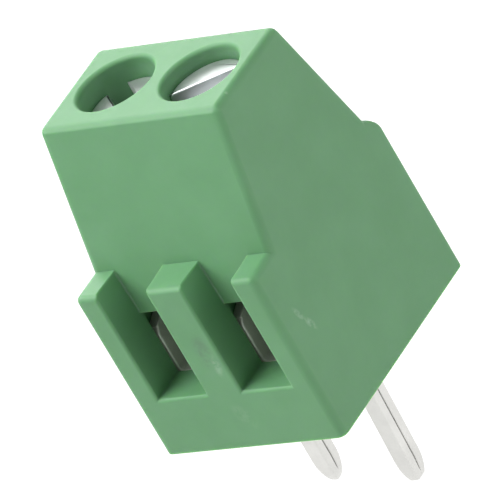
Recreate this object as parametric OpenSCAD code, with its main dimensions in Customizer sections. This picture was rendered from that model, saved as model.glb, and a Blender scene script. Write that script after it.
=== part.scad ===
// Two-pole screw terminal for a printed circuit board, 2.54 mm pitch.
// Each pole has a captive slotted screw that lifts a clamp cage; the cage
// presses the wire up against a fixed contact whose lower end is the solder pin.
// Frame: millimetres, +Z up off the board, -Y towards the wires. The origin is
// the centre of the row of solder pins, on the board plane.

/* [Poles] */
// Distance between the two poles and between the two solder pins
pitch = 2.54; // [2.5:0.01:2.6]

/* [Housing] */
// Width of the housing across both poles
body_w = 5.4; // [5.35:0.05:5.7]
// Height from the board to the top face
body_h = 8.4; // [8.4:0.05:8.8]
// Lower front face, measured towards the wires from the pin row
front_y = 2.99; // [2.9:0.01:3.2]
// Lower back face, measured from the pin row
back_y = 3.4; // [3.3:0.01:3.6]
// Height of the ledge over the wire entries
ledge_z = 4.82; // [4.75:0.01:4.9]
// Foot of the sloping front face, measured towards the wires
slope_foot_y = 2.0; // [1.98:0.01:2.05]
// Front edge of the top face, measured towards the wires
top_front_y = 1.14; // [1.1:0.01:1.4]
// Back edge of the top face
top_back_y = 1.97; // [1.9:0.01:2.1]
// Foot of the sloping back face
shoulder_y = 2.96; // [2.8:0.01:3.0]
// Height of the shoulder behind the sloping back face
shoulder_z = 4.75; // [4.7:0.01:4.85]
// Height at which the sloping shoulder would meet the back face
shoulder_out_z = 4.41; // [4.3:0.01:4.5]
// Rounding of the long outer edges
edge_r = 0.2; // [0.1:0.01:0.25]
// Gap between the underside of the housing and the board
standoff = 0.05; // [0.04:0.01:0.15]

/* [Wire entry] */
// Width of each wire entry
entry_w = 1.48; // [1.3:0.01:1.5]
// Height of the wire entry floor
entry_floor_z = 1.65; // [1.63:0.01:1.75]
// Height of the top edge of the wire entry
entry_top_z = 3.52; // [3.5:0.01:3.55]

/* [Screw] */
// Distance of the screw axis behind the pin row
screw_y = 0.44; // [0.4:0.01:0.5]
// Radius of the screw head
head_r = 1.04; // [1.02:0.01:1.05]
// Height of the screw head
head_h = 0.9; // [0.85:0.01:0.92]
// Outside radius of the thread, left as a plain shank
thread_r = 0.8; // [0.78:0.01:0.8]
// Length of the shank under the head
shank_l = 2.8; // [2.7:0.01:2.82]
// Width of the screwdriver slot
slot_w = 0.54; // [0.4:0.01:0.6]
// Depth of the screwdriver slot
slot_d = 0.45; // [0.3:0.01:0.5]
// Depth of screw 1 below the top face
head_depth_1 = 0.6; // [0.55:0.01:0.62]
// Depth of screw 2 below the top face, up against the rim
head_depth_2 = 0.4; // [0.38:0.01:0.62]
// Direction of the slot of screw 1, in degrees from +X
slot_angle_1 = -44; // [-90:1:90]
// Direction of the slot of screw 2, in degrees from +X
slot_angle_2 = 28; // [-90:1:90]

/* [Clamp cage] */
// Half of the outside width of the cage
cage_hw = 0.98; // [0.96:0.01:0.98]
// Thickness of the cage strip
cage_t = 0.28; // [0.25:0.01:0.3]
// Height of the top of the cage floor, with the clamp open
cage_floor_z = 1.62; // [1.55:0.01:1.66]
// Half of the length of the cage along the wire
cage_hl = 1.06; // [1.0:0.01:1.08]
// Front edge of the cage floor, measured towards the wires
cage_lip_y = 1.85; // [1.7:0.01:1.86]
// Height of the side cheeks at their front edge, with the clamp open
cheek_z = 2.89; // [2.5:0.01:2.95]
// Rise of the cheeks towards the screw, in degrees
cheek_rise = 22; // [0:1:25]
// Radius of the threaded hole, at the tips of its thread clearance
tap_r = 0.84; // [0.83:0.01:0.86]

/* [Contact] */
// Thickness of the folded contact strip, two layers together
strip_t = 0.56; // [0.5:0.02:0.6]
// Width of the contact bar inside the cage
bar_w = 1.24; // [1.1:0.02:1.26]
// Width of the contact where it is pressed into the housing
base_w = 2.06; // [2.04:0.01:2.08]
// Width of the solder pin
pin_w = 0.44; // [0.4:0.01:0.6]
// Length of solder pin 1 below the board plane
pin_l_1 = 3.44; // [2.5:0.01:4.5]
// Length of solder pin 2 below the board plane
pin_l_2 = 3.58; // [2.5:0.01:4.5]
// How far solder pin 1 sits behind the row at the board
pin_root_1 = 0.12; // [-0.15:0.01:0.15]
// How far the end of solder pin 1 is behind the row
pin_end_1 = 0.1; // [-0.15:0.01:0.15]
// How far solder pin 2 sits behind the row at the board
pin_root_2 = 0.06; // [-0.15:0.01:0.15]
// How far the end of solder pin 2 is behind the row
pin_end_2 = -0.12; // [-0.15:0.01:0.15]
// Length of the tapered end of the solder pin
pin_tip_l = 0.75; // [0.4:0.05:1.0]

/* [Hidden] */

pole_x = pitch / 2;

// Half width, front and back of the pocket that holds a cage and a contact
pocket_hw = 1.03;
pocket_front_y = -1.90;
pocket_back_y = 2.63;

// Inner face of the wall over the wire entry
lintel_y = -1.60;

// Contact bar: underside level with the top edge of the wire entry
bar_z0 = entry_top_z;
bar_z1 = bar_z0 + strip_t;
bar_front_y = -1.52;
rear_y1 = 2.61;
rear_y0 = rear_y1 - strip_t;
leg_z0 = 0.40;
leg_z1 = leg_z0 + strip_t;
bend_in = 0.10;
bend_out = bend_in + strip_t;

// Cage: inner height leaves 0.12 over the bar; the top is two layers thick
cage_in = cage_hw - cage_t;
cage_z0 = cage_floor_z - cage_t;
cage_top_in = bar_z1 + 0.12;
cage_top = cage_top_in + 2 * cage_t;
collar_h = 0.29;
cage_y0 = screw_y - cage_hl;
cage_y1 = screw_y + cage_hl;
cage_bend = 0.38;

// Lift of the cage from open to closed, 4.5 turns of a 0.35 mm pitch thread
lift = 1.575;

// Round chamber of the screw head and the rim that keeps the screw in
chamber_r = head_r + 0.02;
rim_r = head_r - 0.02;
rim_h = 0.36;
rim_round = 0.1;
guide_top = cage_top + lift + 0.09;

// Unit vector from point a to point b
function dir(a, b) = (b - a) / norm(b - a);

// Arc of n steps about the centre c between points p and q, the short way
function arc_between(c, p, q, n) =
    let (a0 = atan2(p[1] - c[1], p[0] - c[0]),
         a1 = atan2(q[1] - c[1], q[0] - c[0]),
         d = a1 - a0,
         s = d > 180 ? d - 360 : d < -180 ? d + 360 : d,
         r = norm(p - c))
    [for (i = [0:n]) c + r * [cos(a0 + s * i / n), sin(a0 + s * i / n)]];

// Outline with each corner replaced by an arc; corners are [x, y, radius]
function rounded(c, n = 5) =
    [for (i = [0:len(c) - 1])
        let (p = [c[i][0], c[i][1]],
             a = c[(i + len(c) - 1) % len(c)],
             b = c[(i + 1) % len(c)],
             u = dir(p, [a[0], a[1]]),
             v = dir(p, [b[0], b[1]]),
             half = acos(u * v) / 2,
             r = c[i][2],
             m = (u + v) / norm(u + v),
             ctr = p + m * r / sin(half),
             t = r / tan(half))
        each (r > 0 ? arc_between(ctr, p + u * t, p + v * t, n) : [p])];

// Extrude a (y, z) outline along X between x0 and x1
module along_x(x0, x1) {
    translate([x0, 0, 0]) rotate([90, 0, 90]) linear_extrude(height = x1 - x0) children();
}

// Extrude an (x, z) outline along Y between y0 and y1
module along_y(y0, y1) {
    translate([0, y1, 0]) rotate([90, 0, 0]) linear_extrude(height = y1 - y0) children();
}

// Box between two corners
module box(a, b) {
    translate(a) cube(b - a);
}

// Side view of the housing: a low wide foot and a narrower tower for the screws
module side_outline() {
    polygon(rounded([
        [-front_y, standoff, 0.03],
        [-front_y, ledge_z, 0.15],
        [-slope_foot_y, ledge_z, 0.05],
        [-top_front_y, body_h, 0.13],
        [top_back_y, body_h, edge_r],
        [shoulder_y, shoulder_z, 0.06],
        [back_y, shoulder_out_z, 0.35],
        [back_y, standoff, 0.03]]));
}

module plan_outline() {
    hw = body_w / 2;
    polygon(rounded([
        [-hw, -front_y, edge_r], [hw, -front_y, edge_r],
        [hw, back_y, edge_r], [-hw, back_y, edge_r]]));
}

module front_outline() {
    hw = body_w / 2;
    polygon(rounded([
        [-hw, standoff, 0.03], [hw, standoff, 0.03],
        [hw, body_h, edge_r], [-hw, body_h, edge_r]]));
}

// Space above the contact bar and around the travel of the cheeks
module cheek_slots() {
    top = cheek_z + lift + 0.06;
    back = cage_y0 - 0.05;
    for (s = [-1, 1])
        along_x(s * (pocket_hw + cage_in - 0.05) / 2 - (pocket_hw - cage_in + 0.05) / 2,
                s * (pocket_hw + cage_in - 0.05) / 2 + (pocket_hw - cage_in + 0.05) / 2)
            polygon([[pocket_front_y, 3], [pocket_front_y, top],
                     [back + 0.1, top + (back - pocket_front_y) * tan(cheek_rise)], [back + 0.1, 3]]);
}

// Everything cut from the housing at one pole
module pole_cuts() {
    // wire entry: a deep notch in the front, open through the ledge
    box([-entry_w / 2, -front_y - 1, entry_floor_z], [entry_w / 2, -slope_foot_y, ledge_z + 1]);
    // way through to the clamp
    box([-entry_w / 2, -slope_foot_y - 0.5, entry_floor_z], [entry_w / 2, lintel_y + 0.5, entry_top_z]);
    // pocket for the cage and the contact, open towards the board
    box([-pocket_hw, pocket_front_y, -1], [pocket_hw, pocket_back_y, entry_top_z]);
    box([-pocket_hw, lintel_y, entry_top_z - 0.5], [pocket_hw, pocket_back_y, bar_z1 + 0.04]);
    // guide for the upper half of the cage
    box([-pocket_hw, cage_y0 - 0.05, entry_top_z], [pocket_hw, cage_y1 + 0.05, guide_top]);
    cheek_slots();
    // chamber of the screw head, and the rim above it
    translate([0, screw_y, guide_top - 0.1])
        cylinder(r = chamber_r, h = body_h - rim_h - guide_top + 0.1, $fn = 64);
    translate([0, screw_y, body_h - rim_h])
        cylinder(r1 = chamber_r, r2 = rim_r, h = chamber_r - rim_r, $fn = 64);
    translate([0, screw_y, body_h - rim_h - 0.1])
        cylinder(r = rim_r, h = rim_h + 1, $fn = 64);
    // rounded rim of the screwdriver hole
    translate([0, screw_y, 0]) rotate_extrude($fn = 64)
        difference() {
            translate([0, body_h - rim_round]) square([rim_r + rim_round, rim_round + 1]);
            translate([rim_r + rim_round, body_h - rim_round]) circle(r = rim_round, $fn = 32);
        }
}

// Stand-off feet under the side walls and the wall between the poles
module feet() {
    hw = body_w / 2;
    for (s = [-1, 1]) {
        for (y = [-1.73, 1.6])
            box([s > 0 ? hw - 0.38 : -hw + 0.08, y - 0.4, 0], [s > 0 ? hw - 0.08 : -hw + 0.38, y + 0.4, standoff + 0.2]);
    }
    box([-0.2, -0.5, 0], [0.2, 0.5, standoff + 0.2]);
}

module housing() {
    color([0.36, 0.62, 0.40]) {
        difference() {
            intersection() {
                along_x(-body_w / 2, body_w / 2) side_outline();
                translate([0, 0, -1]) linear_extrude(height = body_h + 2) plan_outline();
                along_y(-front_y - 1, back_y + 1) front_outline();
            }
            for (s = [-1, 1]) translate([s * pole_x, 0, 0]) pole_cuts();
        }
        feet();
    }
}

// Slotted screw with a low cylindrical head; z is the level of its top
module screw(z, angle) {
    color([0.72, 0.73, 0.74])
        translate([0, screw_y, z]) difference() {
            rotate_extrude($fn = 64)
                polygon(concat(
                    [[0, 0], [head_r * 0.6, -0.012]],
                    arc_between([head_r - 0.1, -0.13], [head_r - 0.1, -0.03], [head_r, -0.13], 5),
                    [[head_r, -head_h + 0.05], [head_r - 0.05, -head_h],
                     [thread_r, -head_h],
                     [thread_r, -head_h - shank_l + 0.2], [thread_r - 0.2, -head_h - shank_l],
                     [0, -head_h - shank_l]]));
            rotate([0, 0, angle])
                box([-head_r - 1, -slot_w / 2, -slot_d], [head_r + 1, slot_w / 2, 1]);
        }
}

module clamp_screw_1() {
    translate([-pole_x, 0, 0]) screw(body_h - head_depth_1, slot_angle_1);
}

module clamp_screw_2() {
    translate([pole_x, 0, 0]) screw(body_h - head_depth_2, slot_angle_2);
}

// Quarter ring from angle a to a + 90
module quarter(r0, r1, a) {
    rotate(a) intersection() {
        difference() {
            circle(r = r1, $fn = 48);
            if (r0 > 0) circle(r = r0, $fn = 48);
        }
        square(r1 + 1);
    }
}

// Open trough of the cage, seen along the wire: floor and two walls up to z
module cage_trough(z) {
    b = cage_bend;
    bi = cage_bend - cage_t;
    for (s = [0, 1]) mirror([s, 0]) {
        translate([cage_hw - b, cage_z0 + b]) quarter(bi, b, -90);
        translate([cage_in, cage_z0 + b]) square([cage_t, z - cage_z0 - b]);
    }
    translate([-cage_hw + b, cage_z0]) square([2 * (cage_hw - b), cage_t]);
}

// Whole section of the cage: one end of the strip laps over the other
module cage_ring() {
    b = cage_bend;
    bi = cage_bend - cage_t;
    mid = cage_top_in + cage_t;
    cage_trough(mid - b);
    // under layer, from the left wall
    translate([-cage_hw + b, mid - b]) quarter(bi, b, 90);
    translate([-cage_hw + b, cage_top_in]) square([cage_in - 0.02 + cage_hw - b, cage_t]);
    // upper layer, from the right wall
    translate([cage_in, mid - b]) square([cage_t, cage_top - mid]);
    translate([cage_hw - b, cage_top - b]) quarter(bi, b, 0);
    translate([-cage_hw + 0.03, mid]) square([2 * cage_hw - b - 0.03, cage_t]);
}

module cage() {
    color([0.78, 0.76, 0.70]) difference() {
        union() {
            along_y(cage_y0, cage_y1) cage_ring();
            // floor and cheeks reaching forward to the wire entry
            intersection() {
                along_y(-cage_lip_y, cage_y0 + 0.3) cage_trough(cage_top_in);
                along_x(-2, 2)
                    polygon([[-cage_lip_y, 0], [-cage_lip_y, cheek_z],
                             [cage_y0, cheek_z + (cage_y0 + cage_lip_y) * tan(cheek_rise)],
                             [cage_y0 + 0.2, cheek_z + (cage_y0 + cage_lip_y) * tan(cheek_rise)],
                             [cage_y0 + 0.2, 0]]);
            }
            // drawn collar that lengthens the thread
            translate([0, screw_y, cage_top - cage_t]) cylinder(r = 0.95, h = cage_t + collar_h, $fn = 64);
        }
        // threaded hole; its thread also runs down the inside of the walls
        translate([0, screw_y, cage_top_in - lift - 0.16]) cylinder(r = tap_r, h = lift + 2.5, $fn = 64);
    }
}

module clamp_cage_1() {
    translate([-pole_x, 0, 0]) cage();
}

module clamp_cage_2() {
    translate([pole_x, 0, 0]) cage();
}

// Side view of the folded strip without its pin: foot, back and bar
module strip_outline() {
    translate([0, leg_z0]) square([rear_y1 - bend_out, strip_t]);
    translate([rear_y1 - bend_out, leg_z0 + bend_out]) quarter(bend_in, bend_out, -90);
    translate([rear_y0, leg_z0 + bend_out]) square([strip_t, bar_z1 - leg_z0 - 2 * bend_out]);
    translate([rear_y1 - bend_out, bar_z1 - bend_out]) quarter(bend_in, bend_out, 0);
    // the fold: the strip turns back on itself with a half-round end
    translate([bar_front_y + strip_t / 2, bar_z0]) square([rear_y1 - bend_out - bar_front_y - strip_t / 2, strip_t]);
    translate([bar_front_y + strip_t / 2, bar_z0 + strip_t / 2]) circle(r = strip_t / 2, $fn = 48);
}

// Distance of the centre line of a leaning pin behind the row, at height z
function lean(z, l, root, end) = root + (end - root) * min(1, max(0, -z / l));

// Side view of the solder pin, bent down from the foot
module pin_outline(l, root, end) {
    hy = strip_t / 2;
    z0 = -l + pin_tip_l;
    z1 = -l + pin_tip_l * 0.35;
    z2 = -l + pin_tip_l * 0.08;
    y0 = lean(z0, l, root, end);
    y1 = lean(z1, l, root, end);
    y2 = lean(z2, l, root, end);
    translate([hy + bend_in, leg_z0 - bend_in]) quarter(bend_in, bend_out, 90);
    translate([hy + bend_in - 0.01, leg_z0]) square([0.4, strip_t]);
    polygon([[-hy, leg_z0 - bend_in], [hy, leg_z0 - bend_in], [root + hy, 0],
             [y0 + hy, z0], [y1 + hy * 0.78, z1], [y2 + hy * 0.45, z2], [end + hy * 0.25, -l],
             [end - hy * 0.25, -l], [y2 - hy * 0.45, z2], [y1 - hy * 0.78, z1], [y0 - hy, z0],
             [root - hy, 0]]);
}

// Front view of the solder pin, with the same taper
module pin_front(l) {
    hx = pin_w / 2;
    polygon([[-hx, leg_z0 + 2], [-hx, -l + pin_tip_l], [-hx * 0.78, -l + pin_tip_l * 0.35],
             [-hx * 0.45, -l + pin_tip_l * 0.08], [-hx * 0.25, -l],
             [hx * 0.25, -l], [hx * 0.45, -l + pin_tip_l * 0.08],
             [hx * 0.78, -l + pin_tip_l * 0.35], [hx, -l + pin_tip_l], [hx, leg_z0 + 2]]);
}

// Side view of the seam between the two layers of the pin
module seam_outline(l, root, end) {
    z = -l + 0.35;
    y = lean(z, l, root, end);
    polygon([[-0.02, 0.25], [root - 0.02, 0], [y - 0.02, z], [y + 0.02, z], [root + 0.02, 0], [0.02, 0.25]]);
}

module contact(l, root, end) {
    color([0.80, 0.80, 0.77]) difference() {
        union() {
            // foot, back and bar
            intersection() {
                along_x(-bar_w / 2, bar_w / 2) strip_outline();
                box([-2, 0.5, 0], [2, 4, 6]);
            }
            intersection() {
                along_x(-bar_w / 2, bar_w / 2) strip_outline();
                box([-2, -3, 2], [2, 0.6, 6]);
            }
            // wide part of the foot, pressed between the pocket walls
            box([-base_w / 2, 0.9, leg_z0], [base_w / 2, 1.8, leg_z1]);
            // solder pin
            intersection() {
                along_x(-2, 2) pin_outline(l, root, end);
                along_y(-2, 2) pin_front(l);
            }
        }
        // seam between the two layers, along both edges of the pin
        along_x(pin_w / 2 - 0.03, pin_w / 2 + 0.1) seam_outline(l, root, end);
        along_x(-pin_w / 2 - 0.1, -pin_w / 2 + 0.03) seam_outline(l, root, end);
    }
}

module solder_contact_1() {
    translate([-pole_x, 0, 0]) contact(pin_l_1, pin_root_1, pin_end_1);
}

module solder_contact_2() {
    translate([pole_x, 0, 0]) contact(pin_l_2, pin_root_2, pin_end_2);
}

housing();
clamp_screw_1();
clamp_screw_2();
clamp_cage_1();
clamp_cage_2();
solder_contact_1();
solder_contact_2();
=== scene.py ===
import math
import bmesh
import bpy
from mathutils import Matrix, Vector


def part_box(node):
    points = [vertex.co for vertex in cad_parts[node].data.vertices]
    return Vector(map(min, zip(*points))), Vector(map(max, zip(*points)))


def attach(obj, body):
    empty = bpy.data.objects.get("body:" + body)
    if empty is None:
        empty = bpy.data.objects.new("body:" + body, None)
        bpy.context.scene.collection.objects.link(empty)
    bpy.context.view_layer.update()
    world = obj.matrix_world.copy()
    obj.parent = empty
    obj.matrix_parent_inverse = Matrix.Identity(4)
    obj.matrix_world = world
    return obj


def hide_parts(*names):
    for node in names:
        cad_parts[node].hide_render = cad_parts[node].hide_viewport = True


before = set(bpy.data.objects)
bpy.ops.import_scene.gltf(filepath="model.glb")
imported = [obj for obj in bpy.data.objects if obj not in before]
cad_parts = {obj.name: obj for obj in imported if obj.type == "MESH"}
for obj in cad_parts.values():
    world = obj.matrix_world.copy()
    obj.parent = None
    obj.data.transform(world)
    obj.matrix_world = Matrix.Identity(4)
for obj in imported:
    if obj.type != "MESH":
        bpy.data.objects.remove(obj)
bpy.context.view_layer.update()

# ---------------------------------------------------------------- dimensions
# Shapes are built in millimetres in the CAD frame and scaled to metres at the
# end. Positions that the CAD nodes give are read from them.
MM = 0.001


def node_box(name):
    lo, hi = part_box(name)
    return lo / MM, hi / MM


H_LO, H_HI = node_box("housing")
S1_LO, S1_HI = node_box("clamp_screw_1")
S2_LO, S2_HI = node_box("clamp_screw_2")
K1_LO, K1_HI = node_box("solder_contact_1")
G1_LO, G1_HI = node_box("clamp_cage_1")

HALF_W = H_HI.x
FRONT = H_LO.y
BACK = H_HI.y
TOP = H_HI.z
POLE = (S2_LO.x + S2_HI.x) / 2
SCREW_Y = (S2_LO.y + S2_HI.y) / 2
HEAD_R = (S2_HI.x - S2_LO.x) / 2
BASE = 0.05
LEDGE = 4.82
SLOPE_FOOT = -2.0
TOP_FRONT = -1.14
TOP_BACK = 1.97
SHOULDER = (2.96, 4.75)
SHOULDER_OUT = 4.41
ENTRY = 0.74
ENTRY_FLOOR = 1.65
ENTRY_TOP = 3.52
POCKET = 1.03
RIM_R = HEAD_R - 0.02
CHAMBER_R = HEAD_R + 0.02
RIM_ROUND = 0.10
CAGE_TOP = 4.76
LIFT = 1.575
PITCH = 0.35

scene = bpy.context.scene


# ---------------------------------------------------------------- mesh helpers
def link(name, mesh):
    ob = bpy.data.objects.new(name, mesh)
    scene.collection.objects.link(ob)
    return ob


def from_bmesh(name, bm):
    bmesh.ops.recalc_face_normals(bm, faces=bm.faces[:])
    if bm.calc_volume(signed=True) < 0:
        bmesh.ops.reverse_faces(bm, faces=bm.faces[:])
    mesh = bpy.data.meshes.new(name)
    bm.to_mesh(mesh)
    bm.free()
    return link(name, mesh)


def prism(pts, axis, a, b, name="tool"):
    """Extrusion of a 2-D outline: axis x takes (y, z), y takes (x, z), z takes (x, y)."""
    place = {
        "x": lambda p, h: (h, p[0], p[1]),
        "y": lambda p, h: (p[0], h, p[1]),
        "z": lambda p, h: (p[0], p[1], h),
    }[axis]
    bm = bmesh.new()
    low = [bm.verts.new(place(p, a)) for p in pts]
    high = [bm.verts.new(place(p, b)) for p in pts]
    bm.faces.new(low)
    bm.faces.new(high)
    n = len(pts)
    for i in range(n):
        bm.faces.new((low[i], low[(i + 1) % n], high[(i + 1) % n], high[i]))
    return from_bmesh(name, bm)


def box(lo, hi, name="tool"):
    return prism([(lo[0], lo[1]), (hi[0], lo[1]), (hi[0], hi[1]), (lo[0], hi[1])], "z", lo[2], hi[2], name)


def lathe(profile, x, y, n=96, name="tool"):
    """Solid of revolution about a vertical axis from (radius, z) points."""
    bm = bmesh.new()
    rings = []
    for r, z in profile:
        if r < 1e-6:
            rings.append([bm.verts.new((x, y, z))])
        else:
            rings.append([bm.verts.new((x + r * math.cos(2 * math.pi * k / n), y + r * math.sin(2 * math.pi * k / n), z)) for k in range(n)])
    for p, q in zip(rings, rings[1:]):
        for k in range(n):
            a, b = p[k % len(p)], p[(k + 1) % len(p)]
            c, d = q[(k + 1) % len(q)], q[k % len(q)]
            bm.faces.new([v for i, v in enumerate((a, b, c, d)) if v not in (a, b, c, d)[:i]])
    if len(rings[0]) > 1:
        bm.faces.new(rings[0])
    if len(rings[-1]) > 1:
        bm.faces.new(rings[-1])
    return from_bmesh(name, bm)


def bake(ob):
    """Applies the object's modifiers."""
    dg = bpy.context.evaluated_depsgraph_get()
    mesh = bpy.data.meshes.new_from_object(ob.evaluated_get(dg), preserve_all_data_layers=True, depsgraph=dg)
    old = ob.data
    ob.modifiers.clear()
    ob.data = mesh
    bpy.data.meshes.remove(old)


def combine(ob, tool, how="DIFFERENCE", solver="EXACT"):
    m = ob.modifiers.new("b", "BOOLEAN")
    m.object = tool
    m.operation = how
    m.solver = solver
    bake(ob)
    mesh = tool.data
    bpy.data.objects.remove(tool)
    bpy.data.meshes.remove(mesh)


def join(ob, other):
    """Adds another closed body to the object; its end is sunk into the object."""
    bm = bmesh.new()
    bm.from_mesh(ob.data)
    bm.from_mesh(other.data)
    bm.to_mesh(ob.data)
    bm.free()
    mesh = other.data
    bpy.data.objects.remove(other)
    bpy.data.meshes.remove(mesh)


def tidy(ob, angle=0.3):
    bm = bmesh.new()
    bm.from_mesh(ob.data)
    bmesh.ops.remove_doubles(bm, verts=bm.verts[:], dist=1e-4)
    bmesh.ops.dissolve_limit(bm, angle_limit=math.radians(angle), verts=bm.verts[:], edges=bm.edges[:])
    bm.to_mesh(ob.data)
    bm.free()


def round_edges(ob, width_of, segments=4, least=12):
    """Bevels each sharp edge by the width that width_of(edge) returns, in mm."""
    bm = bmesh.new()
    bm.from_mesh(ob.data)
    layer = bm.edges.layers.float.get("bevel_weight_edge") or bm.edges.layers.float.new("bevel_weight_edge")
    biggest = 0.4
    for e in bm.edges:
        if len(e.link_faces) == 2 and e.calc_face_angle(0) > math.radians(least):
            e[layer] = width_of(e) / biggest
        else:
            e[layer] = 0
    bm.to_mesh(ob.data)
    bm.free()
    m = ob.modifiers.new("round", "BEVEL")
    m.limit_method = "WEIGHT"
    m.width = biggest
    m.segments = segments
    m.use_clamp_overlap = False
    m.miter_outer = "MITER_SHARP"
    m.harden_normals = False
    bake(ob)


def smooth(ob, angle=35):
    """Smooth shading with the flat faces kept flat beside their rounded edges."""
    for p in ob.data.polygons:
        p.use_smooth = True
    m = ob.modifiers.new("normals", "WEIGHTED_NORMAL")
    m.mode = "FACE_AREA_WITH_ANGLE"
    m.weight = 100
    m.keep_sharp = True
    ob.data.set_sharp_from_angle(angle=math.radians(angle))
    bake(ob)


def to_metres(ob, body, slot, material, *stands_for):
    ob.data.transform(Matrix.Scale(MM, 4))
    ob.data.update()
    ob.data.materials.clear()
    ob.data.materials.append(material)
    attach(ob, body)
    if stands_for:
        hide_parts(*stands_for)
    return ob


# ---------------------------------------------------------------- materials
def nodes_of(name):
    m = bpy.data.materials.new(name)
    m.use_nodes = True
    nt = m.node_tree
    bsdf = next(n for n in nt.nodes if n.type == "BSDF_PRINCIPLED")
    return m, nt, bsdf


def node(nt, kind, **values):
    n = nt.nodes.new(kind)
    for key, value in values.items():
        if key in n.inputs:
            n.inputs[key].default_value = value
        else:
            setattr(n, key, value)
    return n


def ramp(nt, stops):
    n = nt.nodes.new("ShaderNodeValToRGB")
    e = n.color_ramp.elements
    while len(e) > 1:
        e.remove(e[-1])
    e[0].position, e[0].color = stops[0][0], stops[0][1]
    for pos, col in stops[1:]:
        x = e.new(pos)
        x.color = col
    return n


def plastic():
    m, nt, b = nodes_of("green_moulded_plastic")
    b.inputs["Subsurface Weight"].default_value = 0.85
    b.inputs["Subsurface Scale"].default_value = 0.00020
    b.inputs["Subsurface Radius"].default_value = (0.60, 1.0, 0.34)
    b.inputs["Specular IOR Level"].default_value = 0.5
    co = node(nt, "ShaderNodeTexCoord")
    broad = node(nt, "ShaderNodeTexNoise", Scale=700.0, Detail=3.0, Roughness=0.55)
    nt.links.new(co.outputs["Object"], broad.inputs["Vector"])
    tone = ramp(nt, [(0.35, (0.092, 0.240, 0.108, 1)), (0.65, (0.102, 0.256, 0.120, 1))])
    nt.links.new(broad.outputs["Fac"], tone.inputs["Fac"])
    color = tone.outputs["Color"]
    haze = node(nt, "ShaderNodeTexNoise", Scale=5200.0, Detail=4.0, Roughness=0.65)
    nt.links.new(co.outputs["Object"], haze.inputs["Vector"])

    def wear_and_sheen_patch(centre, turn, size_mm, strength, tint, color):
        """Pale or dark patch, an ellipsoid about centre (mm), broken up by noise: rubbed wear on most patches, a
        painted sheen on one.
        """
        place = node(nt, "ShaderNodeMapping", vector_type="TEXTURE")
        place.inputs["Location"].default_value = tuple(c * MM for c in centre)
        place.inputs["Rotation"].default_value = tuple(math.radians(t) for t in turn)
        place.inputs["Scale"].default_value = tuple(c * MM for c in size_mm)
        nt.links.new(co.outputs["Object"], place.inputs["Vector"])
        size = node(nt, "ShaderNodeVectorMath", operation="LENGTH")
        nt.links.new(place.outputs["Vector"], size.inputs[0])
        fall = node(nt, "ShaderNodeMapRange", interpolation_type="SMOOTHSTEP")
        fall.inputs["From Min"].default_value = 1.0
        fall.inputs["From Max"].default_value = 0.25
        fall.inputs["To Min"].default_value = 0.0
        fall.inputs["To Max"].default_value = strength
        nt.links.new(size.outputs["Value"], fall.inputs["Value"])
        broken = node(nt, "ShaderNodeMath", operation="MULTIPLY")
        rough = node(nt, "ShaderNodeMapRange")
        rough.inputs["From Min"].default_value = 0.38
        rough.inputs["From Max"].default_value = 0.60
        nt.links.new(haze.outputs["Fac"], rough.inputs["Value"])
        nt.links.new(fall.outputs["Result"], broken.inputs[0])
        nt.links.new(rough.outputs["Result"], broken.inputs[1])
        mix = node(nt, "ShaderNodeMix", data_type="RGBA")
        nt.links.new(broken.outputs["Value"], mix.inputs["Factor"])
        nt.links.new(color, mix.inputs["A"])
        mix.inputs["B"].default_value = tint
        return mix.outputs["Result"]

    pale = (0.30, 0.42, 0.32, 1)
    soot = (0.085, 0.150, 0.098, 1)
    for centre, turn, size_mm, k, tint in (
            ((HALF_W, -2.24, 3.16), (22, 0, 0), (0.2, 0.10, 0.34), 0.50, pale),
            ((HALF_W, -2.04, 2.72), (24, 0, 0), (0.2, 0.12, 0.32), 0.60, pale),
            ((0.13, FRONT, 2.90), (0, 8, 0), (0.30, 0.2, 0.75), 0.55, soot),
            ((0.29, FRONT, 2.50), (0, 10, 0), (0.16, 0.2, 0.42), 0.45, pale),
            # painted sheen: this faint pale patch low on the front face stands in for light reflected there, not for
            # wear
            ((0.22, FRONT, 0.95), (0, -26, 0), (0.30, 0.2, 0.55), 0.16, pale),
            ((2.62, -0.50, TOP), (0, 0, 0), (0.06, 0.07, 0.12), 0.8, pale),
            ((-0.66, FRONT, 4.51), (0, 0, 0), (0.07, 0.10, 0.08), 0.9, pale)):
        color = wear_and_sheen_patch(centre, turn, size_mm, k, tint, color)
    nt.links.new(color, b.inputs["Base Color"])
    gloss = node(nt, "ShaderNodeMapRange")
    gloss.inputs["To Min"].default_value = 0.50
    gloss.inputs["To Max"].default_value = 0.64
    nt.links.new(haze.outputs["Fac"], gloss.inputs["Value"])
    nt.links.new(gloss.outputs["Result"], b.inputs["Roughness"])
    fine = node(nt, "ShaderNodeTexNoise", Scale=16000.0, Detail=2.0, Roughness=0.6)
    nt.links.new(co.outputs["Object"], fine.inputs["Vector"])
    bump = node(nt, "ShaderNodeBump", Strength=0.10, Distance=0.00001)
    nt.links.new(fine.outputs["Fac"], bump.inputs["Height"])
    nt.links.new(bump.outputs["Normal"], b.inputs["Normal"])
    return m


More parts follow.
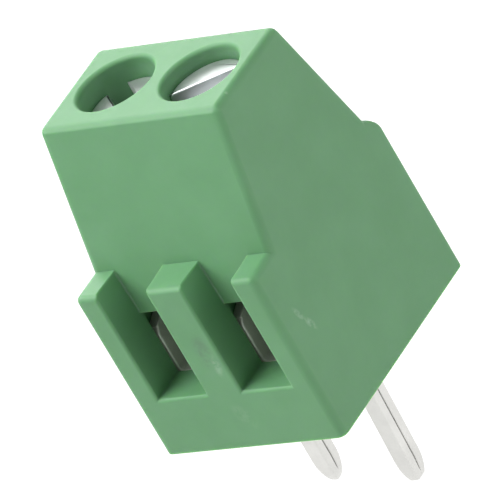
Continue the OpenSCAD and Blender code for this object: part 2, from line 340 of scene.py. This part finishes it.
def metal(name, color, rough, grain, bump_strength, metallic):
    m, nt, b = nodes_of(name)
    b.inputs["Metallic"].default_value = metallic
    co = node(nt, "ShaderNodeTexCoord")
    cloud = node(nt, "ShaderNodeTexNoise", Scale=1500.0, Detail=4.0, Roughness=0.6)
    nt.links.new(co.outputs["Object"], cloud.inputs["Vector"])
    dark = tuple(c * 0.9 for c in color) + (1,)
    tone = ramp(nt, [(0.35, dark), (0.65, tuple(color) + (1,))])
    nt.links.new(cloud.outputs["Fac"], tone.inputs["Fac"])
    nt.links.new(tone.outputs["Color"], b.inputs["Base Color"])
    rr = node(nt, "ShaderNodeMapRange")
    rr.inputs["To Min"].default_value = rough - 0.05
    rr.inputs["To Max"].default_value = rough + 0.08
    nt.links.new(cloud.outputs["Fac"], rr.inputs["Value"])
    nt.links.new(rr.outputs["Result"], b.inputs["Roughness"])
    fine = node(nt, "ShaderNodeTexNoise", Scale=grain, Detail=3.0, Roughness=0.6)
    nt.links.new(co.outputs["Object"], fine.inputs["Vector"])
    bump = node(nt, "ShaderNodeBump", Strength=bump_strength, Distance=0.00001)
    nt.links.new(fine.outputs["Fac"], bump.inputs["Height"])
    nt.links.new(bump.outputs["Normal"], b.inputs["Normal"])
    return m


GREEN = plastic()
ZINC = metal("zinc_plated_screw", (0.70, 0.72, 0.73), 0.30, 9000.0, 0.15, 0.85)
TIN = metal("tin_plated_contact", (0.72, 0.715, 0.69), 0.45, 14000.0, 0.25, 0.85)
NICKEL = metal("nickel_plated_cage", (0.50, 0.53, 0.47), 0.58, 11000.0, 0.2, 0.55)


# ---------------------------------------------------------------- housing
def build_housing():
    side = [(FRONT, BASE), (FRONT, LEDGE), (SLOPE_FOOT, LEDGE), (TOP_FRONT, TOP), (TOP_BACK, TOP),
            SHOULDER, (BACK, SHOULDER_OUT), (BACK, BASE)]
    ob = prism(side, "x", -HALF_W, HALF_W, "housing_shell")
    guide_top = CAGE_TOP + LIFT + 0.09
    g0, g1 = SCREW_Y - 1.06 - 0.05, SCREW_Y + 1.06 + 0.05
    cheek_top = 2.89 + LIFT + 0.06
    for s in (-1, 1):
        x = s * POLE
        combine(ob, box((x - ENTRY, FRONT - 1, ENTRY_FLOOR), (x + ENTRY, SLOPE_FOOT, LEDGE + 1)))
        combine(ob, box((x - ENTRY, SLOPE_FOOT - 0.5, ENTRY_FLOOR), (x + ENTRY, -1.10, ENTRY_TOP)))
        # pocket, as one outline seen from the side
        pocket = [(-1.90, -1), (-1.90, cheek_top), (g0, cheek_top + (g0 + 1.90) * math.tan(math.radians(22))),
                  (g0, guide_top), (g1, guide_top), (g1, 4.12), (2.63, 4.12), (2.63, -1)]
        for a, b in ((-POCKET, -0.65), (0.65, POCKET)):
            combine(ob, prism(pocket, "x", x + a, x + b))
        middle = [(-1.90, -1), (-1.90, ENTRY_TOP), (-1.60, ENTRY_TOP), (-1.60, 4.12), (g0, 4.12), (g0, guide_top),
                  (g1, guide_top), (g1, 4.12), (2.63, 4.12), (2.63, -1)]
        combine(ob, prism(middle, "x", x - 0.66, x + 0.66))
        # chamber of the head, with a rim that narrows gently to the rounded mouth
        mouth = [(RIM_R + RIM_ROUND * (1 - math.cos(a)), TOP - RIM_ROUND + RIM_ROUND * math.sin(a))
                 for a in (math.radians(15 * i) for i in range(1, 6))]
        combine(ob, lathe([(0, guide_top - 0.1), (CHAMBER_R, guide_top - 0.1), (CHAMBER_R, TOP - 0.36),
                           (RIM_R, TOP - 0.20), (RIM_R, TOP - RIM_ROUND)] + mouth
                          + [(RIM_R + RIM_ROUND, TOP), (RIM_R + RIM_ROUND, TOP + 1), (0, TOP + 1)], x, SCREW_Y, 128))
    for s in (-1, 1):
        for y in (-1.73, 1.6):
            xs = sorted((s * (HALF_W - 0.38), s * (HALF_W - 0.08)))
            combine(ob, box((xs[0], y - 0.4, 0), (xs[1], y + 0.4, 0.3)), "UNION")
    combine(ob, box((-0.2, -0.5, 0), (0.2, 0.5, 0.3)), "UNION")
    tidy(ob)

    def near(a, b, tol=0.004):
        return abs(a - b) < tol

    def width(e):
        p = (e.verts[0].co + e.verts[1].co) / 2
        d = (e.verts[1].co - e.verts[0].co).normalized()
        normals = [f.normal for f in e.link_faces]
        on_side = any(abs(n.x) > 0.99 for n in normals) and near(abs(p.x), HALF_W)
        for s in (-1, 1):
            if math.hypot(p.x - s * POLE, p.y - SCREW_Y) < HEAD_R + 0.2 and p.z > 6.3:
                return 0.0
        if p.z < BASE - 0.001:
            return 0.02
        if near(p.z, BASE):
            return 0.0
        if on_side:
            return 0.20
        if abs(d.x) > 0.99 and near(p.z, TOP) and near(p.y, TOP_FRONT):
            return 0.13
        if abs(d.x) > 0.99 and near(p.z, TOP) and near(p.y, TOP_BACK):
            return 0.20
        if abs(d.x) > 0.99 and near(p.z, LEDGE) and near(p.y, FRONT):
            return 0.15
        if abs(d.x) > 0.99 and near(p.z, LEDGE) and near(p.y, SLOPE_FOOT):
            return 0.0
        if abs(d.x) > 0.99 and near(p.z, SHOULDER[1]) and near(p.y, SHOULDER[0]):
            return 0.06
        if abs(d.x) > 0.99 and near(p.z, SHOULDER_OUT) and near(p.y, BACK):
            return 0.30
        if near(p.y, FRONT):
            return 0.09
        if p.y < SLOPE_FOOT + 0.01 and p.z > ENTRY_FLOOR - 0.01:
            return 0.05
        return 0.0

    round_edges(ob, width)
    smooth(ob)
    return to_metres(ob, "base", "housing", GREEN, "housing")


build_housing()

# ---------------------------------------------------------------- screws
def thread_body(x, y, z0, z1, crest, root, n=64, rows=8):
    """Closed threaded bar between z0 and z1, right-handed, one pitch every PITCH."""
    turns = (z1 - z0) / PITCH
    count = int(math.ceil(turns * rows)) + rows
    shape = [0.0, 0.0, 0.34, 0.68, 1.0, 1.0, 0.68, 0.34]
    bm = bmesh.new()
    grid = []
    for i in range(n):
        column = []
        for j in range(-rows, count + 1):
            z = z0 + PITCH * (j / rows + i / n)
            fade = max(0.0, min(1.0, (z - z0 - 0.04) / 0.30, (z1 - z - 0.02) / 0.20))
            r = root + (crest - root) * shape[j % rows] * fade
            zz = max(z0, min(z1, z))
            if zz != z:
                r = root
            column.append(bm.verts.new((x + r * math.cos(2 * math.pi * i / n), y + r * math.sin(2 * math.pi * i / n), zz)))
        grid.append(column)
    for i in range(n):
        for j in range(len(grid[0]) - 1):
            if i < n - 1:
                q = (grid[i][j], grid[i + 1][j], grid[i + 1][j + 1], grid[i][j + 1])
            else:
                if j + rows + 1 >= len(grid[0]):
                    continue
                q = (grid[i][j], grid[0][j + rows], grid[0][j + rows + 1], grid[i][j + 1])
            bm.faces.new(q)
    bmesh.ops.remove_doubles(bm, verts=bm.verts[:], dist=1e-5)
    bmesh.ops.dissolve_degenerate(bm, dist=1e-5, edges=bm.edges[:])
    loose = [v for v in bm.verts if not v.link_faces]
    bmesh.ops.delete(bm, geom=loose, context="VERTS")
    bmesh.ops.holes_fill(bm, edges=[e for e in bm.edges if e.is_boundary], sides=0)
    return from_bmesh("thread", bm)


def build_screw(n, angle):
    lo, hi = node_box("clamp_screw_%d" % n)
    x, y, top = (lo.x + hi.x) / 2, (lo.y + hi.y) / 2, hi.z
    head = 0.90
    edge = 0.11
    arc = [(HEAD_R - edge + edge * math.sin(a), top - edge + edge * math.cos(a))
           for a in (math.radians(15 * i) for i in range(1, 7))]
    profile = ([(0, top), (HEAD_R - edge, top)] + arc
               + [(HEAD_R, top - head + 0.06), (HEAD_R - 0.018, top - head + 0.018), (HEAD_R - 0.06, top - head),
                  (0.86, top - head), (0.82, top - head - 0.02), (0.80, top - head - 0.06),
                  (0.62, top - head - 0.22), (0, top - head - 0.22)])
    ob = lathe(profile, x, y, 96, "screw_%d" % n)
    slot = box((-HEAD_R - 1, -SLOT_W / 2, -SLOT_D), (HEAD_R + 1, SLOT_W / 2, 1))
    slot.data.transform(Matrix.Translation((x, y, top)) @ Matrix.Rotation(math.radians(angle), 4, "Z"))
    combine(ob, slot, "DIFFERENCE", "MANIFOLD")
    tidy(ob, 0.2)
    c, s = math.cos(math.radians(angle)), math.sin(math.radians(angle))

    def width(e):
        across = [abs(-(v.co.x - x) * s + (v.co.y - y) * c) for v in e.verts]
        on_wall = all(abs(a - SLOT_W / 2) < 0.002 for a in across)
        if not on_wall:
            return 0.0
        z = (e.verts[0].co.z + e.verts[1].co.z) / 2
        if z > top - 0.20:
            return 0.045
        if z < top - SLOT_D + 0.01:
            return 0.05
        return 0.0

    round_edges(ob, width, 3, 25)
    thread = thread_body(x, y, lo.z + 0.02, top - head - 0.15, 0.795, 0.60)
    join(ob, thread)
    smooth(ob, 40)
    return to_metres(ob, "screw_%d" % n, "screws", ZINC, "clamp_screw_%d" % n)


SLOT_W = 0.54
SLOT_D = 0.45
build_screw(1, -44)
build_screw(2, 28)


# ---------------------------------------------------------------- strips
def arc2(c, r, a0, a1, n):
    return [(c[0] + r * math.cos(math.radians(a0 + (a1 - a0) * i / n)), c[1] + r * math.sin(math.radians(a0 + (a1 - a0) * i / n)))
            for i in range(n + 1)]


def rounded_section(u0, u1, v0, v1, radii, n=3):
    """Corners of a rectangle in (u, v), rounded; radii for (u0,v0), (u1,v0), (u1,v1), (u0,v1)."""
    pts = []
    corners = ((u0, v0, 180, radii[0], 1, 1), (u1, v0, 270, radii[1], -1, 1), (u1, v1, 0, radii[2], -1, -1), (u0, v1, 90, radii[3], 1, -1))
    for cu, cv, a0, r, su, sv in corners:
        for i in range(n + 1):
            a = math.radians(a0 + 90 * i / n)
            pts.append((cu + su * r + r * math.cos(a), cv + sv * r + r * math.sin(a)))
    return pts


def loft(rings, name, caps=True):
    bm = bmesh.new()
    vs = [[bm.verts.new(p) for p in ring] for ring in rings]
    for a, b in zip(vs, vs[1:]):
        for k in range(len(a)):
            m = (k + 1) % len(a)
            bm.faces.new((a[k], a[m], b[m], b[k]))
    if caps:
        bm.faces.new(vs[0])
        bm.faces.new(vs[-1])
    return from_bmesh(name, bm)


def build_contact(n, root, end):
    lo, hi = node_box("solder_contact_%d" % n)
    x = (lo.x + hi.x) / 2
    tip_z = lo.z
    T = 0.27
    tip = 0.75
    # stations along the seam between the two layers: (y, z, normal y, normal z, half width, tip scale, merge)
    st = []

    def add(y, z, ny, nz, hw, f=1.0, merge=0.0):
        if z < 0.05:
            # each pin leans a little, from root at the board to end at its tip
            y += root + (end - root) * max(0.0, z / tip_z)
        st.append((y, z, ny, nz, hw, f, merge))

    taper = [(0.0, 0.22), (0.025, 0.34), (0.06, 0.46), (0.11, 0.57), (0.18, 0.68), (0.26, 0.78), (0.38, 0.87),
             (0.52, 0.95), (0.64, 0.985), (0.75, 1.0)]
    for h, f in taper:
        add(0, tip_z + h, -1, 0, 0.22 * f, f, max(0.0, min(1.0, (0.42 - h) / 0.14)))
    add(0, -2.0, -1, 0, 0.22)
    add(0, -1.0, -1, 0, 0.22)
    add(0, 0.0, -1, 0, 0.22)
    for y, z in arc2((0.38, 0.30), 0.38, 180, 90, 10):
        add(y, z, (y - 0.38) / 0.38, (z - 0.30) / 0.38, 0.22)
    for y, hw in ((0.44, 0.22), (0.48, 0.24), (0.50, 0.60), (0.52, 0.62), (0.88, 0.62), (0.90, 0.64), (0.92, 1.01), (0.95, 1.03),
                  (1.75, 1.03), (1.78, 1.01), (1.80, 0.64), (1.82, 0.62)):
        add(y, 0.68, 0, 1, hw)
    for y, z in arc2((1.95, 1.06), 0.38, -90, 0, 10):
        add(y, z, (1.95 - y) / 0.38, (1.06 - z) / 0.38, 0.62)
    add(2.33, 2.0, -1, 0, 0.62)
    for y, z in arc2((1.95, 3.42), 0.38, 0, 90, 10):
        add(y, z, (1.95 - y) / 0.38, (3.42 - z) / 0.38, 0.62)
    add(1.0, 3.80, 0, -1, 0.62)
    add(0.0, 3.80, 0, -1, 0.62)
    add(-1.24, 3.80, 0, -1, 0.62)

    def ring(y, z, ny, nz, hw, near, far, seam_r):
        edge = min(0.05, (far - near) * 0.3, hw * 0.3)
        seam_r = min(seam_r, edge)
        pts = rounded_section(-hw, hw, near, far, (seam_r, seam_r, edge, edge))
        return [(x + u, y + ny * v, z + nz * v) for u, v in pts]

    rings = []
    for y, z, ny, nz, hw, f, merge in st:
        gap = 0.012 * (1 - merge) + 0.0006
        rings.append(ring(y, z, ny, nz, hw, gap, gap + (T - 0.002) * f - 0.004 * (1 - merge), 0.045 * (1 - merge) + 0.0015))
    for i in range(1, 12):
        a = math.radians(180 * i / 12)
        # the fold: both layers meet round the end of the bar
        ny, nz = -math.sin(a), -math.cos(a)
        rings.append(ring(-1.24, 3.80, ny, nz, 0.62, 0.0086, 0.0086 + T - 0.002, 0.02))
    for y, z, ny, nz, hw, f, merge in reversed(st):
        gap = 0.012 * (1 - merge) + 0.0006
        rings.append(ring(y, z, -ny, -nz, hw, gap, gap + (T - 0.002) * f - 0.004 * (1 - merge), 0.045 * (1 - merge) + 0.0015))
    ob = loft(rings, "contact_%d" % n)
    smooth(ob, 40)
    return to_metres(ob, "base", "contacts", TIN, "solder_contact_%d" % n)


build_contact(1, 0.12, 0.10)
build_contact(2, 0.06, -0.12)


def build_cage(n):
    lo, hi = node_box("clamp_cage_%d" % n)
    x, y0, y1 = (lo.x + hi.x) / 2, -0.62, hi.y
    front = lo.y
    T = 0.28
    cheek_z, cheek_y = 2.89, -1.85
    slope = math.tan(math.radians(22))
    z_end = cheek_z + (y0 - cheek_y) * slope

    def front_at(z):
        if z <= cheek_z:
            return front
        return min(y0, cheek_y + (z - cheek_z) / slope)

    # centre line of the strip in (x, z), with its outward normal and the y of its front edge
    st = []

    def add(px, pz, nx, nz, fy):
        st.append((px, pz, nx, nz, fy))

    add(0.66, 4.34, 0, 1, y0)
    add(0.30, 4.34, 0, 1, y0)
    for px, pz in arc2((-0.60, 4.10), 0.24, 90, 180, 8):
        add(px, pz, (px + 0.60) / 0.24, (pz - 4.10) / 0.24, y0)

    def wall_y(z):
        y = front_at(z)
        d = z - cheek_z
        if -0.20 < d < 0.12:  # rounded front corner of the cheek
            k = 1 - abs(d + 0.02) / 0.18
            y = max(y, front + 0.10 * max(0.0, k) ** 2)
        return y

    heights = [z_end + 0.02, z_end, 3.25, 3.12, 3.02, 2.97, 2.93, 2.90, 2.87, 2.83, 2.78, 2.70, 2.4, 2.0]
    for z in heights:
        add(-0.84, z, -1, 0, y0 if z > z_end else wall_y(z))
    for px, pz in arc2((-0.60, 1.72), 0.24, 180, 270, 8):
        add(px, pz, (px + 0.60) / 0.24, (pz - 1.72) / 0.24, front)
    for px, pz in arc2((0.60, 1.72), 0.24, 270, 360, 8):
        add(px, pz, (px - 0.60) / 0.24, (pz - 1.72) / 0.24, front)
    for z in reversed(heights):
        add(0.84, z, 1, 0, y0 if z > z_end else wall_y(z))
    for px, pz in arc2((0.60, 4.38), 0.24, 0, 90, 8):
        add(px, pz, (px - 0.60) / 0.24, (pz - 4.38) / 0.24, y0)
    add(0.0, 4.62, 0, 1, y0)
    add(-0.93, 4.62, 0, 1, y0)

    rings = []
    for px, pz, nx, nz, fy in st:
        e = 0.045
        pts = rounded_section(fy, y1, -T / 2 + 0.001, T / 2 - 0.001, (e, e, e, e))
        rings.append([(x + px + nx * v, u, pz + nz * v) for u, v in pts])
    ob = loft(rings, "cage_%d" % n)
    # drawn collar with a rounded mouth
    collar = lathe([(0, 4.5), (0.95, 4.5), (0.95, CAGE_TOP + 0.22), (0.935, CAGE_TOP + 0.26), (0.90, CAGE_TOP + 0.29), (0, CAGE_TOP + 0.29)],
                   x, SCREW_Y, 96)
    combine(ob, collar, "UNION", "MANIFOLD")
    combine(ob, lathe([(0, 2.465), (0.84, 2.465), (0.84, CAGE_TOP + 0.26), (0.87, CAGE_TOP + 0.30), (0.87, CAGE_TOP + 1), (0, CAGE_TOP + 1)],
                      x, SCREW_Y, 96), "DIFFERENCE", "MANIFOLD")
    smooth(ob, 40)
    return to_metres(ob, "cage_%d" % n, "cages", NICKEL, "clamp_cage_%d" % n)


build_cage(1)
build_cage(2)


# ---------------------------------------------------------------- stage
def stage():
    m, nt, b = nodes_of("floor_white")
    b.inputs["Base Color"].default_value = (0.08, 0.08, 0.08, 1)
    b.inputs["Roughness"].default_value = 1.0
    b.inputs["Specular IOR Level"].default_value = 0.0
    b.inputs["Emission Color"].default_value = (1, 1, 1, 1)
    b.inputs["Emission Strength"].default_value = 1.1
    bm = bmesh.new()
    z = K1_LO.z * MM
    vs = [bm.verts.new(p) for p in ((-3, -3, z), (3, -3, z), (3, 3, z), (-3, 3, z))]
    bm.faces.new(vs)
    floor = from_bmesh("floor", bm)
    floor.data.materials.append(m)

    world = bpy.data.worlds.new("studio")
    scene.world = world
    world.use_nodes = True
    bg = next(n for n in world.node_tree.nodes if n.type == "BACKGROUND")
    bg.inputs["Color"].default_value = (1, 1, 1, 1)
    bg.inputs["Strength"].default_value = 0.40

    def area(name, direction, distance, size, radiance):
        """Round soft light that faces the part; its strength is given as its brightness."""
        light = bpy.data.lights.new(name, "AREA")
        light.shape = "DISK"
        light.size = size
        # radiance of a disk light is power / (pi * area)
        light.energy = radiance * math.pi * math.pi * (size / 2) ** 2
        d = Vector(direction).normalized()
        ob = bpy.data.objects.new(name, light)
        ob.location = d * distance + Vector((0, 0, 0.003))
        ob.rotation_mode = "QUATERNION"
        ob.rotation_quaternion = (-d).to_track_quat("-Z", "Y")
        scene.collection.objects.link(ob)
        return ob

    area("key", (-0.40, -0.36, 0.84), 0.50, 0.46, 8.3)
    area("back_wall", (-0.60, 0.62, 0.50), 0.50, 0.44, 3.8)
    area("fill", (0.92, 0.15, 0.36), 0.60, 0.40, 3.4)


stage()

cam_data = bpy.data.cameras.new("camera")
cam_data.sensor_width = 36.0
cam_data.lens = 9756.137 / 503 * 36.0
cam_data.clip_start = 0.01
cam_data.clip_end = 20
cam = bpy.data.objects.new("camera", cam_data)
right = Vector((0.77263227, 0.44274712, -0.4549883))
down = Vector((-0.08909161, -0.63397313, -0.76820619))
ahead = Vector((-0.62857144, 0.63407654, -0.45038305))
cam.matrix_world = Matrix.Translation(Vector((0.1434518, -0.1445461, 0.1061567))) @ Matrix((
    (right.x, -down.x, -ahead.x, 0),
    (right.y, -down.y, -ahead.y, 0),
    (right.z, -down.z, -ahead.z, 0),
    (0, 0, 0, 1)))
scene.collection.objects.link(cam)
scene.camera = cam
scene.view_settings.view_transform = "Standard"
